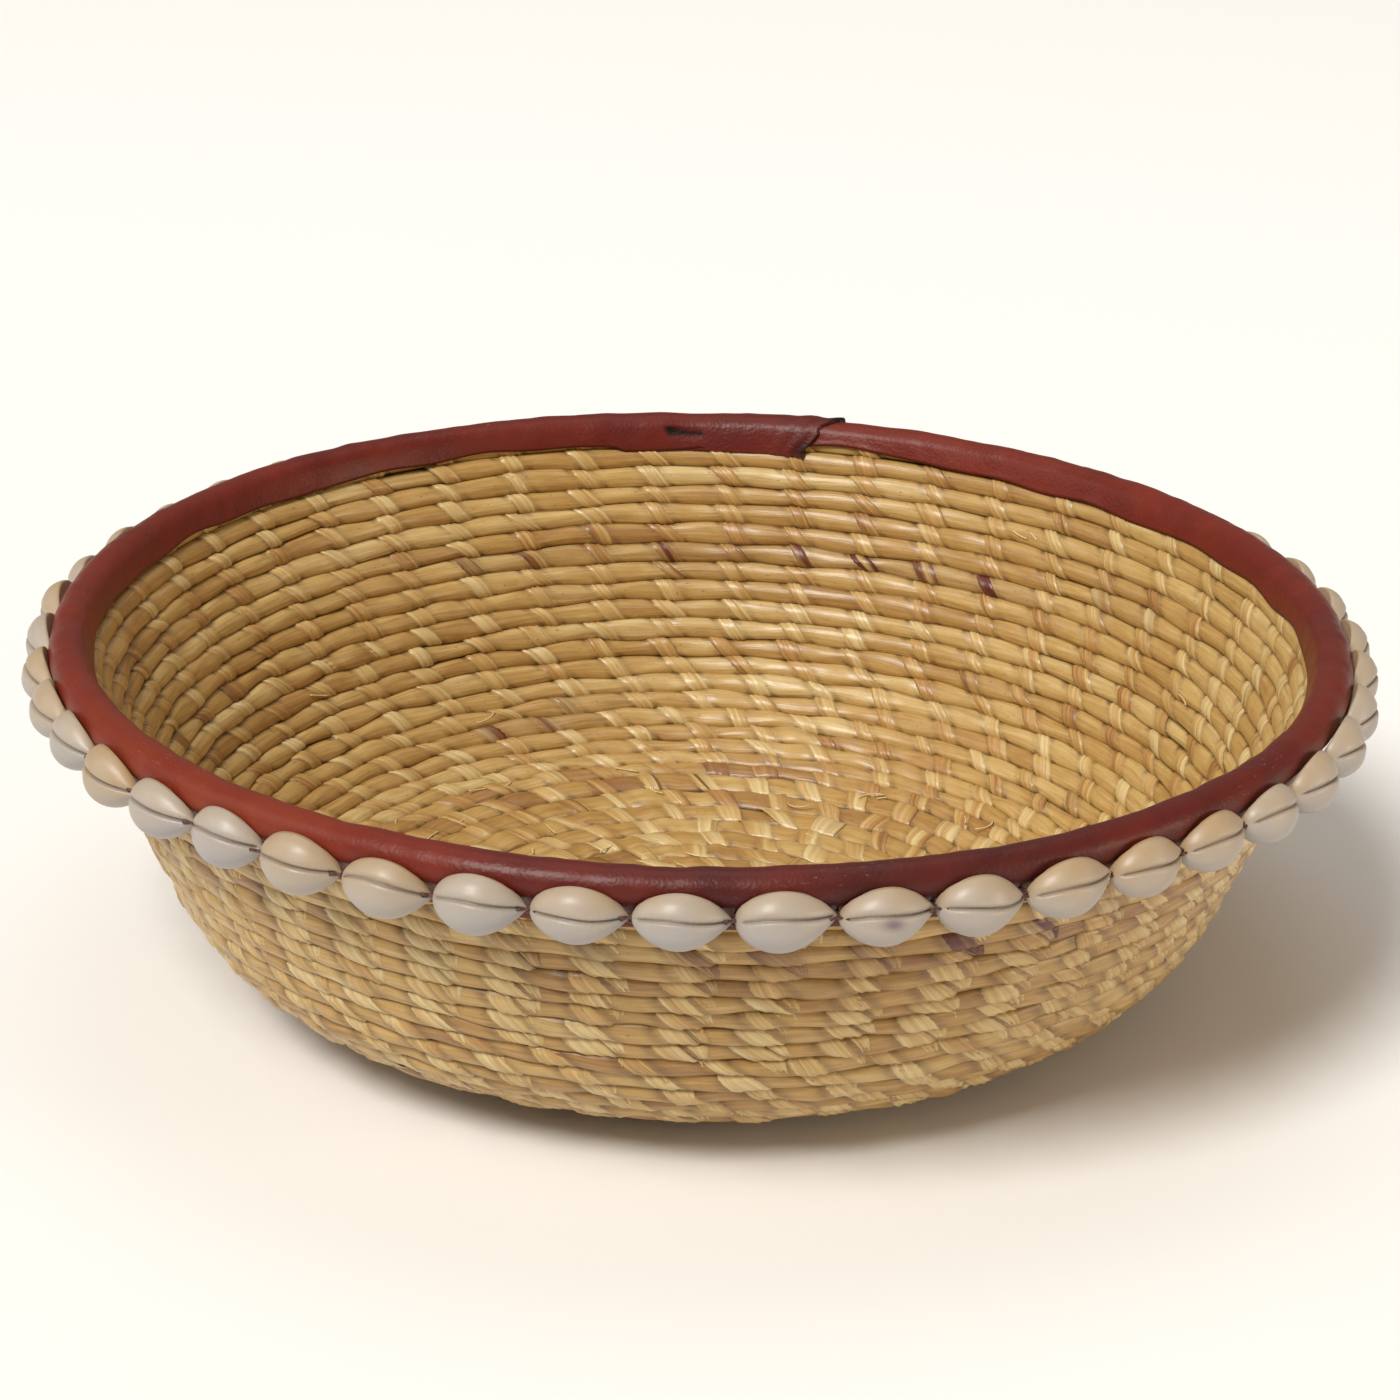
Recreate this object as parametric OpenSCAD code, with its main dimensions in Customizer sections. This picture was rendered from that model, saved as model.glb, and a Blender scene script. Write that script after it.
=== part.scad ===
// Coiled straw bowl: one straw coil sewn turn to turn, a leather strip rolled over
// the last turn, and a ring of cowrie shells sewn round the outside under the leather.
// Millimetres, +Z up. The bowl stands on z = 0 and its axis is the Z axis.

/* [Bowl] */
// Radius of the middle of the rim roll
rim_r = 152; // [120:1:185]
// Height of the middle of the rim roll above the table
rim_h = 86; // [65:0.1:105]
// Slope of the straight wall from the horizontal
wall_slope = 66.5; // [58:0.5:75]
// Radius of the shoulder between the dish and the wall
shoulder_r = 44.6; // [30:0.1:54]
// Radius of the shallow dish around the flat middle
dish_r = 233; // [150:1:280]
// Slope of the dish where it meets the shoulder
dish_slope = 11; // [6:0.5:14]
// Inward step from the middle of the rim roll to the line of the wall
rim_step = 1; // [0:0.1:2]

/* [Coil] */
// Thickness of the coil through the wall
coil_t = 5.6; // [4.6:0.1:6.8]
// Width of one turn on the wall and the shoulder
wall_pitch = 5.26; // [4.4:0.02:6.4]
// Width of one turn on the floor, where the coil is pressed flatter
floor_pitch = 8; // [6.6:0.1:9.6]
// How far neighbouring turns press into each other
turn_press = 0.3; // [0.2:0.05:0.6]
// Radius of the knot that the coil starts from
knot_r = 9; // [7:0.5:12]
// Radius of the last turn, which the leather is rolled over
rim_core_r = 3.6; // [3:0.1:4.6]

/* [Sewing] */
// Distance from stitch to stitch along the rim
stitch_step = 19.9; // [15:0.1:25]
// Width of a line of stitches at the rim
stitch_w = 4.6; // [3:0.1:7]
// Thickness of a sewing splint
splint_t = 0.6; // [0.4:0.05:0.9]

/* [Leather] */
// Thickness of the leather strip
leather_t = 1.1; // [0.8:0.05:1.5]
// How far the outer flap runs down the wall from the middle of the roll
outer_flap = 10; // [8:0.5:16]
// Where the lapped end of the strip stands, counted from the front
lap_at = 168; // [150:1:200]
// Length of the lap around the rim, in degrees
lap_span = 14; // [8:1:20]
// Thickness of the pared end that lies on top
lap_t = 0.8; // [0.5:0.05:1.1]

/* [Cowries] */
// Length of a shell
cowrie_len = 20; // [16:0.1:23]
// Width of a shell
cowrie_w = 14.6; // [10:0.1:16]
// Thickness of the shell's wall
cowrie_wall = 1.3; // [0.9:0.05:1.8]
// Least space between two shells, where the thread passes
cowrie_gap = 1.2; // [1.1:0.05:2]
// How far the shells' long axis hangs below the middle of the roll
cowrie_drop = 4.7; // [4:0.1:8]
// Depth of a shell behind its long axis
cowrie_depth = 1.6; // [0.6:0.1:3]
// Play between the ground back of a shell and the leather
cowrie_play = 0.15; // [0.1:0.05:0.5]
// Upward turn of the shell's mouth
cowrie_tilt = 14; // [0:1:25]
// Where the first shell lies, in degrees from the front toward the right
cowrie_first = -1; // [-4:0.5:4]
// Width of the mouth's slit
mouth_w = 0.9; // [0.6:0.05:1.4]
// Diameter of the sewing thread
thread_d = 0.8; // [0.5:0.05:1]

/* [Hidden] */
$fn = 96;
SMALL_FN = 40;
BIG = 40;

// The middle line of the wall, seen in section, is four pieces joined smoothly: the
// flat floor, the dish, the shoulder and the straight wall. The bowl's radius and height
// fix the two straight pieces.
floor_z = coil_t / 2;
rise = rim_h - floor_z;
dish_z = dish_r * (1 - cos(dish_slope));
shoulder_z = shoulder_r * (cos(dish_slope) - cos(wall_slope));
wall_len = (rise - dish_z - shoulder_z) / sin(wall_slope);
dish_x = dish_r * sin(dish_slope);
shoulder_x = shoulder_r * (sin(wall_slope) - sin(dish_slope));
flat_r = rim_r - rim_step - dish_x - shoulder_x - wall_len * cos(wall_slope);

// Lengths along the middle line
dish_len = dish_r * dish_slope * PI / 180;
shoulder_len = shoulder_r * (wall_slope - dish_slope) * PI / 180;
dish_end = flat_r + dish_len;
shoulder_end = dish_end + shoulder_len;
// The wall's top turn lies against the last turn, under the leather
wall_end = shoulder_end + wall_len + rim_step * cos(wall_slope) - rim_core_r;

// Slope of the middle line at the length s from the axis
function slope(s) =
    s < flat_r ? 0
    : s < dish_end ? (s - flat_r) / dish_r * 180 / PI
    : s < shoulder_end ? dish_slope + (s - dish_end) / shoulder_r * 180 / PI
    : wall_slope;

// Point [radius, height] of the middle line at the length s from the axis
function line_point(s) =
    s < flat_r ? [s, floor_z]
    : s < dish_end ? [flat_r, floor_z] + arc_step(dish_r, 0, slope(s))
    : s < shoulder_end
        ? [flat_r + dish_x, floor_z + dish_z] + arc_step(shoulder_r, dish_slope, slope(s))
    : [flat_r + dish_x + shoulder_x, floor_z + dish_z + shoulder_z]
        + (s - shoulder_end) * [cos(wall_slope), sin(wall_slope)];

// Move along an arc of radius r between two slopes
function arc_step(r, from, to) = r * [sin(to) - sin(from), cos(from) - cos(to)];

// Put a flat shape at the length s, its X along the middle line and its Y to the inside
module on_line(s) {
    translate(line_point(s)) rotate(slope(s)) children();
}

// Section of one turn: a round bundle, pressed wide where the turns are wide
module turn_section(pitch) {
    side = max(0, (pitch + turn_press - coil_t) / 2);
    for (x = side > 0 ? [-side, side] : [0])
        translate([x, 0]) circle(d = coil_t, $fn = SMALL_FN);
    if (side > 0) square([2 * side, coil_t], center = true);
}

// A run of whole turns between two lengths, each near the given width. It ends in a
// straight cut at each length, where the next run starts.
module coil_run(from, to, pitch) {
    turns = round((to - from) / pitch);
    width = (to - from) / turns;
    rotate_extrude()
        difference() {
            for (k = [0 : turns - 1])
                on_line(from + (k + 0.5) * width) turn_section(width);
            on_line(from) translate([-BIG, -BIG / 2]) square(BIG);
            on_line(to) translate([0, -BIG / 2]) square(BIG);
        }
}

module centre_knot() {
    color("burlywood")
        cylinder(r = knot_r, h = coil_t);
}

module floor_coil() {
    color("tan") coil_run(knot_r, dish_end, floor_pitch);
}

module shoulder_coil() {
    color("burlywood") coil_run(dish_end, shoulder_end, wall_pitch);
}

module wall_coil() {
    color("tan") coil_run(shoulder_end, wall_end, wall_pitch);
}

// The last turn is thicker and stands a little outside the line of the wall
rim_centre = [rim_r, rim_h];

module rim_coil() {
    color("peru")
        rotate_extrude()
            difference() {
                translate(rim_centre) circle(rim_core_r, $fn = SMALL_FN);
                on_line(wall_end) translate([-BIG, -BIG / 2]) square(BIG);
            }
}

// Sewing splints: each line of stitches runs up the wall and crosses every turn. A layer
// lies on the turns from the depth near to the depth far, measured from the middle line.
stitch_n = round(2 * PI * rim_r / stitch_step);
stitch_angle = stitch_w / rim_r * 180 / PI;

// Part of a ring around an arc's centre, between two slopes
module arc_layer(r, from, to, near, far) {
    intersection() {
        difference() {
            circle(r - near);
            circle(r - far);
        }
        polygon([
            [0, 0],
            for (a = [from, (from + to) / 2, to]) 2 * r * [sin(a), -cos(a)]
        ]);
    }
}

module shoulder_layer(near, far) {
    translate([flat_r + dish_x, floor_z + dish_z]
            + shoulder_r * [-sin(dish_slope), cos(dish_slope)])
        arc_layer(shoulder_r, dish_slope, wall_slope, near, far);
}

module wall_layer(near, far, stop) {
    on_line(shoulder_end)
        translate([0, near]) square([stop - shoulder_end, far - near]);
}

module stitch_lines() {
    for (k = [0 : stitch_n - 1])
        rotate((k + 0.5) * 360 / stitch_n)
            rotate_extrude(angle = stitch_angle) children();
}

// The top stitches end just under the roll
stitch_top = shoulder_end + wall_len - rim_core_r - leather_t - 2;

module inner_splints() {
    near = coil_t / 2;
    far = near + splint_t;
    color("wheat")
        stitch_lines() {
            shoulder_layer(near, far);
            wall_layer(near, far, stitch_top);
        }
}

module outer_splints() {
    near = -coil_t / 2 - splint_t;
    far = -coil_t / 2;
    color("moccasin")
        stitch_lines() {
            shoulder_layer(near, far);
            wall_layer(near, far, shoulder_end + wall_len - outer_flap - 1);
        }
}

// Leather: a C that hugs the last turn, open where the wall comes in, and a flap that
// lies on the outside of the wall behind the shells
roll_r = rim_core_r + leather_t;
// Along the wall's own line, the roll's middle stands this far beyond the flap's level
rim_off = rim_step * sin(wall_slope);

// The wall's own band, which no leather may enter
module wall_band() {
    translate(rim_centre)
        rotate(wall_slope)
            translate([-BIG, -coil_t / 2 + rim_off])
                square([BIG, coil_t]);
}

// C section between two radii around the last turn
module roll_section(inner, outer) {
    difference() {
        translate(rim_centre) circle(outer, $fn = SMALL_FN);
        translate(rim_centre) circle(inner, $fn = SMALL_FN);
        wall_band();
    }
}

module flap_section(near, far) {
    difference() {
        translate(rim_centre)
            rotate(wall_slope)
                translate([-outer_flap, rim_off - coil_t / 2 - far])
                    square([outer_flap, far - near]);
        translate(rim_centre) circle(rim_core_r + near, $fn = SMALL_FN);
    }
}

module leather_binding() {
    color("brown")
        rotate_extrude() {
            roll_section(rim_core_r, roll_r);
            flap_section(0, leather_t);
        }
}

// The strip's pared end lies over its beginning
module leather_lap() {
    color("maroon")
        rotate(lap_at - 90)
            rotate_extrude(angle = lap_span)
                roll_section(roll_r, roll_r + lap_t);
}

// Cowries: the shell's long axis runs along the rim. Its back is ground flat and lies
// against the leather, parallel to the wall.
// The axis stands so far out of the middle of the roll that the back just clears it
cowrie_out = (roll_r + cowrie_play + cowrie_depth - cowrie_drop * cos(wall_slope))
    / sin(wall_slope);
ring_r = rim_r + cowrie_out;
cowrie_n = floor(2 * PI * ring_r / (cowrie_len + cowrie_gap));

// Half of a shell's outline, to be turned around its long axis. The radius follows a
// sine that is pushed toward the blunt end and rounded off at both ends.
SHELL_STEPS = 12;

function shell_r(u, w) = w / 2 * pow(sin(180 * pow(u, 0.9)), 0.8);

module shell_profile(len, w) {
    polygon([
        [0, -len / 2],
        for (k = [1 : SHELL_STEPS - 1]) let (u = (1 - cos(180 * k / SHELL_STEPS)) / 2)
            [shell_r(u, w), (u - 0.5) * len],
        [0, len / 2]
    ]);
}

module cowrie() {
    difference() {
        rotate_extrude() shell_profile(cowrie_len, cowrie_w);
        rotate_extrude()
            shell_profile(cowrie_len - 4 * cowrie_wall, cowrie_w - 2 * cowrie_wall);
        // ground back
        rotate(wall_slope - 90)
            translate([-cowrie_depth - BIG, -BIG / 2, -BIG / 2]) cube(BIG);
        // mouth
        rotate(cowrie_tilt)
            translate([0, -mouth_w / 2, -0.4 * cowrie_len])
                cube([cowrie_w, mouth_w, 0.8 * cowrie_len]);
    }
}

// Shell number i, counted from the first toward the right
module cowrie_at(i) {
    color("ivory")
        rotate(cowrie_first + i * 360 / cowrie_n - 90)
            translate([ring_r, 0, rim_h - cowrie_drop])
                rotate([90, 0, 0]) cowrie();
}

// Thread: one short stitch stands in each gap between two shells
thread_out = 4.5;

module shell_thread() {
    foot_r = rim_r - cowrie_drop / tan(wall_slope)
        + (coil_t / 2 + leather_t - rim_off) / sin(wall_slope);
    color("saddlebrown")
        for (i = [0 : cowrie_n - 1])
            rotate(cowrie_first + (i + 0.5) * 360 / cowrie_n - 90)
                translate([foot_r, 0, rim_h - cowrie_drop])
                    rotate([0, 90, 0]) cylinder(d = thread_d, h = thread_out, $fn = SMALL_FN);
}

// A bowl with more shells than the model has names for keeps several in one node
MOST_SHELL_NODES = 50;
shells_each = ceil(cowrie_n / MOST_SHELL_NODES);
shell_nodes = ceil(cowrie_n / shells_each);
function shell_name(i) = str("cowrie_", i < 9 ? "0" : "", i + 1);

centre_knot();
floor_coil();
shoulder_coil();
wall_coil();
rim_coil();
inner_splints();
outer_splints();
leather_binding();
leather_lap();
shell_thread();
for (i = [0 : shell_nodes - 1])
    for (k = [i * shells_each : min(cowrie_n, (i + 1) * shells_each) - 1])
            cowrie_at(k);
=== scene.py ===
"""Coiled straw bowl: a coil sewn with leaf splints, a rolled leather rim and a ring of cowries."""
import math

import bpy
import numpy as np
from mathutils import Matrix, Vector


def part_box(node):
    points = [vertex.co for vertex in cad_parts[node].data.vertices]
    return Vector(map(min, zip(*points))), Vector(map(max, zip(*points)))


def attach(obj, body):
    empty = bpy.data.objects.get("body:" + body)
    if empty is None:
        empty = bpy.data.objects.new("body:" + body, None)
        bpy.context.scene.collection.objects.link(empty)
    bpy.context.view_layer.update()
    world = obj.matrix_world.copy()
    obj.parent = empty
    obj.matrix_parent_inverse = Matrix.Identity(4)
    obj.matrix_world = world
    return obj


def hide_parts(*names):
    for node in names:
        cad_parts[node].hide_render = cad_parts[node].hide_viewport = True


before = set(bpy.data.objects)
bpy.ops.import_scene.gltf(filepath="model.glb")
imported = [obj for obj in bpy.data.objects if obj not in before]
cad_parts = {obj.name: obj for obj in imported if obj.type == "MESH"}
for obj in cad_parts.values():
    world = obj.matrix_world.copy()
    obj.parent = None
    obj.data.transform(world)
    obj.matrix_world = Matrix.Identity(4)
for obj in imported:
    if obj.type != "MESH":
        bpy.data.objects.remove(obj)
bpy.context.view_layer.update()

MM = 0.001
SEED = 48


# ---------------------------------------------------------------- sizes, in millimetres

def node_mm(name):
    """Lowest and highest corner of a CAD node, in millimetres."""
    low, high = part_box(name)
    return np.array(low) / MM, np.array(high) / MM


knot_low, knot_high = node_mm("centre_knot")
core_low, core_high = node_mm("rim_coil")
shell_low, shell_high = node_mm("cowrie_01")
COIL_T = knot_high[2] - knot_low[2]
CORE_R = (core_high[2] - core_low[2]) / 2
RIM_R = core_high[0] - CORE_R
RIM_H = (core_high[2] + core_low[2]) / 2

# The wall's middle line in section: flat floor, dish, shoulder and straight wall
WALL_SLOPE = math.radians(66.5)
DISH_SLOPE = math.radians(11)
SHOULDER_R = 44.6
DISH_R = 233.0
RIM_STEP = 1.0
FLOOR_Z = COIL_T / 2
DISH_X = DISH_R * math.sin(DISH_SLOPE)
DISH_Z = DISH_R * (1 - math.cos(DISH_SLOPE))
SHOULDER_X = SHOULDER_R * (math.sin(WALL_SLOPE) - math.sin(DISH_SLOPE))
SHOULDER_Z = SHOULDER_R * (math.cos(DISH_SLOPE) - math.cos(WALL_SLOPE))
WALL_LEN = (RIM_H - FLOOR_Z - DISH_Z - SHOULDER_Z) / math.sin(WALL_SLOPE)
FLAT_R = RIM_R - RIM_STEP - DISH_X - SHOULDER_X - WALL_LEN * math.cos(WALL_SLOPE)
DISH_END = FLAT_R + DISH_R * DISH_SLOPE
SHOULDER_END = DISH_END + SHOULDER_R * (WALL_SLOPE - DISH_SLOPE)
WALL_END = SHOULDER_END + WALL_LEN + RIM_STEP * math.cos(WALL_SLOPE) - CORE_R

# Coil and sewing. Underneath, the coil is rubbed flat at COIL_UNDER and each stitch at a
# level of its own, which lies between STITCH_UNDER and UNDER_SPREAD above that.
COIL_UNDER = 0.25
STITCH_UNDER = 0.02
UNDER_SPREAD = 0.2
KNOT_R = 7.4
FLOOR_PITCH = 7.9
WALL_PITCH = 5.27
TURN_PRESS = 0.30
BUNDLE_POWER = 2.35
STEP = 1.25
AROUND = 18
WALL_STITCHES = 46.035
STITCH_FROM_R = 131.0
SLANT_IN = 5.4
SLANT_OUT = 6.0
STITCH_IN_W = 5.7
STITCH_OUT_W = 8.2

# Leather
LEATHER_T = 1.1
ROLL_R = CORE_R + LEATHER_T
LAP_T = 0.8
LAP_AT = math.radians(168)
FLAP = 9.4
FLAP_OUT = COIL_T / 2 - RIM_STEP * math.sin(WALL_SLOPE)
LIP = 6.6
LIP_IN = COIL_T / 2 + RIM_STEP * math.sin(WALL_SLOPE)
ROLL_FROM = math.radians(154)

# Cowries
COWRIES = sum(name.startswith("cowrie_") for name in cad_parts)
COWRIE_W = shell_high[2] - shell_low[2]
COWRIE_DEPTH = 1.6
COWRIE_TILT = math.radians(14)
SHELL_GAP = 0.35
TOOTH_STEP = 1.25
RING_H = (shell_low[2] + shell_high[2]) / 2
RING_R = -shell_low[1] - COWRIE_W / 2
FIRST_SHELL = math.atan2(shell_low[0] + shell_high[0], -shell_low[1] - shell_high[1])
SHELL_STEP = 2 * math.pi * RING_R / COWRIES


# ---------------------------------------------------------------- small helpers

def linear(code):
    """Turns an sRGB hex colour to linear red, green, blue and alpha."""
    parts = [int(code[i:i + 2], 16) / 255 for i in (1, 3, 5)]
    return [c / 12.92 if c <= 0.04045 else ((c + 0.055) / 1.055) ** 2.4 for c in parts] + [1.0]


def smooth(x, low, high):
    """Rises from 0 at low to 1 at high along an S curve."""
    t = np.clip((x - low) / (high - low), 0, 1)
    return t * t * (3 - 2 * t)


def bump(x, width):
    """A bell of height 1 round x = 0 that has fallen to a third at the width."""
    return np.exp(-(x / width) ** 2)


def seeded(number):
    """Random numbers that come out the same on every run."""
    return np.random.default_rng(SEED + number)


def wander(rng, count, reach):
    """A random walk that stays level: white noise averaged over a run of neighbours, spread 1."""
    window = np.hanning(reach + 2)[1:-1]
    walk = np.convolve(rng.normal(size=count + reach), window, mode="same")[:count]
    return (walk - walk.mean()) / walk.std()


def ripples(theta, other, waves, slants, count, rng):
    """Sum of waves that close round the bowl. Each runs a whole number of times round the
    rim, leans a little across the piece, and has a random phase; the spread is about 1."""
    total = np.zeros(np.broadcast(theta, other).shape)
    for _ in range(count):
        turns = rng.integers(waves[0], waves[1] + 1)
        lean = rng.uniform(slants[0], slants[1])
        total = total + np.cos(turns * theta + lean * other + rng.uniform(0, 2 * math.pi))
    return total * math.sqrt(2 / count)


def polar(radius, theta, height):
    """Points at an angle counted from the front toward the right, round the bowl's axis."""
    return np.stack([radius * np.sin(theta), -radius * np.cos(theta),
                     height + 0 * radius], axis=-1)


# ---------------------------------------------------------------- meshes

def grid_faces(rows, columns, closed, count=1):
    """Corner numbers of the quads of a grid, or of several equal grids one after another.
    A closed grid joins its last column to its first."""
    across = columns if closed else columns - 1
    row, column, copy = np.meshgrid(np.arange(rows - 1), np.arange(across), np.arange(count),
                                    indexing="ij")
    base = copy * rows * columns
    right = (column + 1) % columns
    corners = [row * columns + column, row * columns + right,
               (row + 1) * columns + right, (row + 1) * columns + column]
    return np.stack([base + c for c in corners], axis=-1).reshape(-1, 4)


def make_piece(name, points, faces, uv, marks, material, caps=()):
    """Makes a mesh piece from points in millimetres and quads, with a UV map in
    millimetres and one colour attribute. Each cap is a ring of corners closed by one face."""
    mesh = bpy.data.meshes.new(name)
    points = np.asarray(points, dtype=np.float64).reshape(-1, 3)
    caps = [list(map(int, cap)) for cap in caps]
    corners = np.concatenate([faces.ravel(), *caps]).astype(np.int32)
    totals = np.array([4] * len(faces) + [len(cap) for cap in caps], dtype=np.int32)
    starts = np.concatenate([[0], np.cumsum(totals)[:-1]]).astype(np.int32)
    mesh.vertices.add(len(points))
    mesh.vertices.foreach_set("co", (points * MM).ravel())
    mesh.loops.add(len(corners))
    mesh.loops.foreach_set("vertex_index", corners)
    mesh.polygons.add(len(totals))
    mesh.polygons.foreach_set("loop_start", starts)
    mesh.polygons.foreach_set("use_smooth", np.ones(len(totals), dtype=bool))
    mesh.update(calc_edges=True)
    layer = mesh.uv_layers.new(name="along_across")
    layer.data.foreach_set("uv", np.asarray(uv).reshape(-1, 2)[corners].ravel())
    colours = np.ones((len(points), 4))
    colours[:, :3] = np.asarray(marks).reshape(-1, 3)
    marking = mesh.attributes.new("marks", "FLOAT_COLOR", "POINT")
    marking.data.foreach_set("color", colours.ravel())
    mesh.validate()
    mesh.materials.append(material)
    piece = bpy.data.objects.new(name, mesh)
    bpy.context.collection.objects.link(piece)
    return piece


def place(piece, slot, *nodes):
    """Rides the piece on the bowl and lets it stand for CAD nodes."""
    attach(piece, "root")
    if nodes:
        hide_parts(*nodes)
    return piece


# ---------------------------------------------------------------- materials

MATH, MIX = "ShaderNodeMath", "ShaderNodeMix"
RAMP, NOISE = "ShaderNodeValToRGB", "ShaderNodeTexNoise"
MAPPING, BUMP, PLACE = "ShaderNodeMapping", "ShaderNodeBump", "ShaderNodeTexCoord"


def fill(tree, node, inputs):
    """Gives inputs, by name or number, a number, a hex colour or another node's output."""
    for key, value in inputs.items():
        if isinstance(value, bpy.types.NodeSocket):
            tree.links.new(value, node.inputs[key])
        else:
            node.inputs[key].default_value = linear(value) if isinstance(value, str) else value


def add(tree, kind, inputs, out=0, stops=(), **settings):
    """Adds a node with its settings, its inputs and a ramp's stops, each a place and a hex
    colour, and returns one of its outputs. A colour mix has its share at input 0, its two
    colours at 6 and 7, and its result at output 2."""
    node = tree.nodes.new(kind)
    for name, value in settings.items():
        setattr(node, name, value)
    fill(tree, node, inputs)
    for number, (position, code) in enumerate(stops):
        ramp = node.color_ramp.elements
        stop = ramp[number] if number < 2 else ramp.new(position)
        stop.position = position
        stop.color = linear(code)
    return node.outputs[out]


def new_material(name):
    """Makes a material and returns it with its tree, its Principled shader, the piece's UV
    in millimetres and the three values that the piece carries in its colour attribute."""
    material = bpy.data.materials.new(name)
    material.use_nodes = True
    tree = material.node_tree
    uv = add(tree, "ShaderNodeUVMap", {}, uv_map="along_across")
    carried = add(tree, "ShaderNodeAttribute", {}, attribute_name="marks")
    split = add(tree, "ShaderNodeSeparateColor", {"Color": carried})
    return material, tree, tree.nodes["Principled BSDF"], uv, split.node.outputs


def straw_material(name, colours, roughness):
    """Dried leaf straw, split and laid flat. The eye sees a satin skin with fine lengthwise
    fibres, honey tones that change from strip to strip, and painted shade in the seams.
    Fibres are drawn 0.8 mm across, coarser than life so that they show, and strands 1.7 mm."""
    material, tree, shader, uv, (tone, stain, painted_shade) = new_material(name)
    fibre_place = add(tree, MAPPING, {"Vector": uv, "Scale": (1 / 16, 1 / 0.8, 1)})
    fibres = add(tree, NOISE, {"Vector": fibre_place, "Scale": 1, "Detail": 5, "Roughness": 0.68})
    strand_place = add(tree, MAPPING, {"Vector": uv, "Scale": (1 / 30, 1 / 1.7, 1)})
    strands = add(tree, NOISE, {"Vector": strand_place, "Scale": 1, "Detail": 3, "Roughness": 0.6})
    blotch_place = add(tree, MAPPING, {"Vector": uv, "Scale": (1 / 9, 1 / 4, 1)})
    blotches = add(tree, NOISE, {"Vector": blotch_place, "Scale": 1, "Detail": 3, "Roughness": 0.6})
    shade = add(tree, MATH, {0: fibres, 1: 1.30, 2: -0.89}, operation="MULTIPLY_ADD")
    shade = add(tree, MATH, {0: blotches, 1: 0.48, 2: shade}, operation="MULTIPLY_ADD")
    shade = add(tree, MATH, {0: tone, 1: shade}, operation="ADD", use_clamp=True)
    base = add(tree, RAMP, {0: shade}, stops=colours)
    # streaks where the skin has gone brown between the fibres
    streak = add(tree, RAMP, {0: strands}, stops=[(0.51, "#000000"), (0.64, "#989898")])
    base = add(tree, MIX, {0: streak, 6: base, 7: "#8E6233"}, 2, data_type="RGBA")
    # red-brown dye that has run into some splints
    uneven = add(tree, MATH, {0: strands, 1: 0.55}, operation="ADD")
    dyed = add(tree, MATH, {0: stain, 1: uneven}, operation="MULTIPLY", use_clamp=True)
    base = add(tree, MIX, {0: dyed, 6: base, 7: "#5E2418"}, 2, data_type="RGBA")
    # specks a millimetre long
    speck_place = add(tree, MAPPING, {"Vector": uv, "Scale": (1 / 1.6, 1 / 0.7, 1)})
    specks = add(tree, NOISE, {"Vector": speck_place, "Scale": 1, "Detail": 1, "Roughness": 0.4})
    speck = add(tree, RAMP, {0: specks}, stops=[(0.70, "#000000"), (0.77, "#B0B0B0")])
    base = add(tree, MIX, {0: speck, 6: base, 7: "#5A3A1C"}, 2, data_type="RGBA")
    # painted shade: darkens the seams, pits, grooves and stitch edges that each piece marks in its
    # third channel
    base = add(tree, MIX, {0: painted_shade, 6: base, 7: "#40260F"}, 2, data_type="RGBA")
    dull = add(tree, MATH, {0: fibres, 1: 0.30, 2: roughness - 0.15}, operation="MULTIPLY_ADD")
    relief = add(tree, MATH, {0: fibres, 1: 0.5, 2: strands}, operation="MULTIPLY_ADD")
    skin = add(tree, BUMP, {"Strength": 0.7, "Distance": 0.32 * MM, "Height": relief})
    fill(tree, shader, {"Base Color": base, "Roughness": dull, "Normal": skin, "IOR": 1.5,
                        "Coat Weight": 0.18, "Coat Roughness": 0.26})
    return material


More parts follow.
